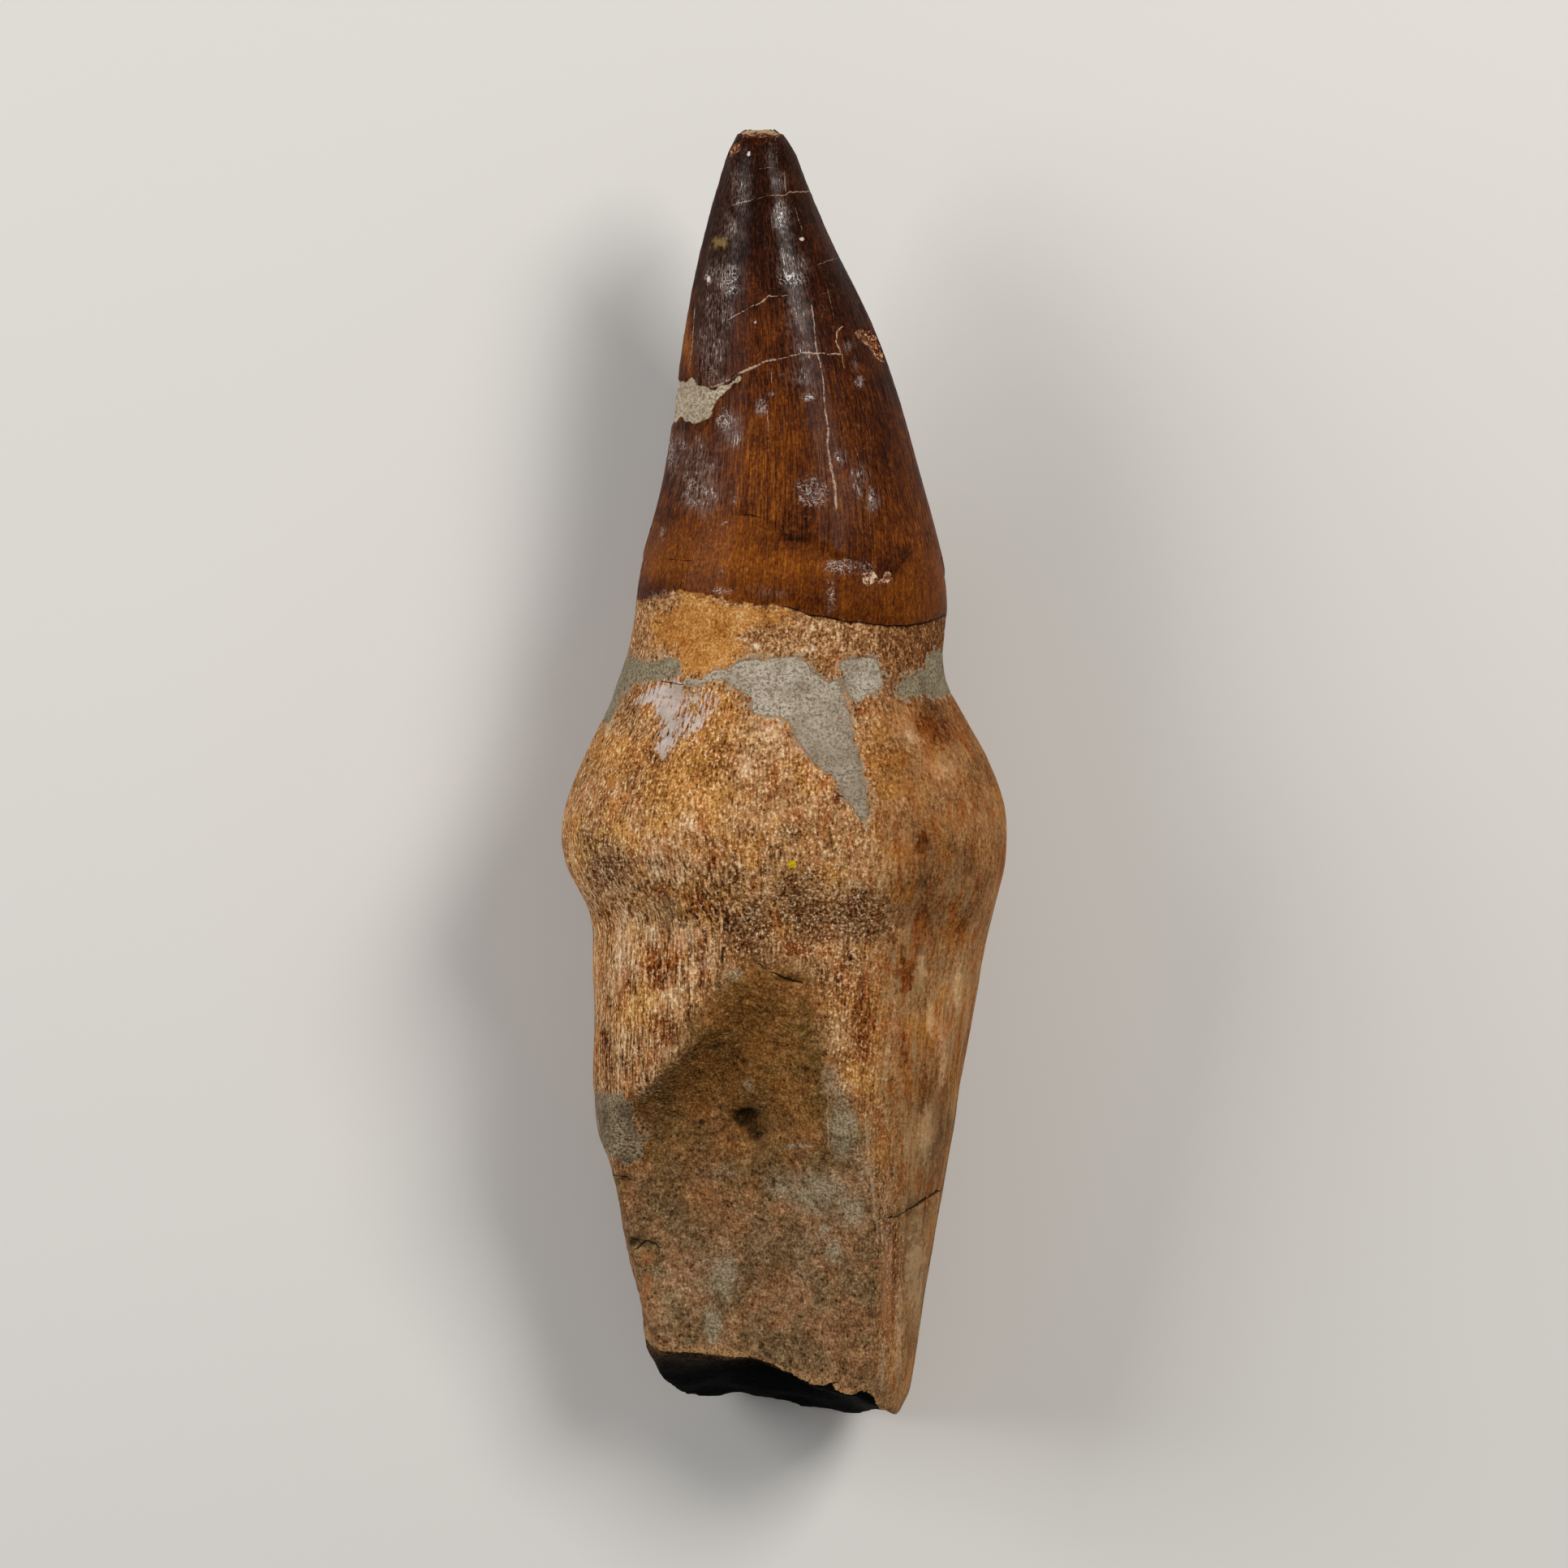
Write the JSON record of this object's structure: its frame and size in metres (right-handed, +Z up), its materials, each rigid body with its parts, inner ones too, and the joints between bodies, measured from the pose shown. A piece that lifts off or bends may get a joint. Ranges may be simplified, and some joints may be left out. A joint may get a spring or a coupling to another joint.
{
  "type": "fossil mosasaur tooth",
  "caption": "Rooted fossil reptile tooth lying on its back: a glossy conical crown on a swollen bone root with a hollow in its front, and putty repairs at the neck.",
  "frame": {"origin": "centre of the footprint's box, on the surface that the tooth lies on", "axes": "+Y along the tooth towards the tip, +Z up out of the hollowed front of the root, +X to the right seen from above with the tip away"},
  "size_m": [0.036, 0.105, 0.0293],
  "materials": {
    "fossil": "dark glossy enamel on the crown, matt fibrous golden-brown bone on the root",
    "putty": "matt grey-beige restoration putty with a fine grain"
  },
  "bodies": {
    "root": {"tooth": "fossil", "crown_filler": "putty", "neck_filler_front": "putty", "neck_filler_small": "putty", "neck_filler_right": "putty", "neck_filler_left": "putty", "root_filler": "putty"}
  },
  "joints": []
}
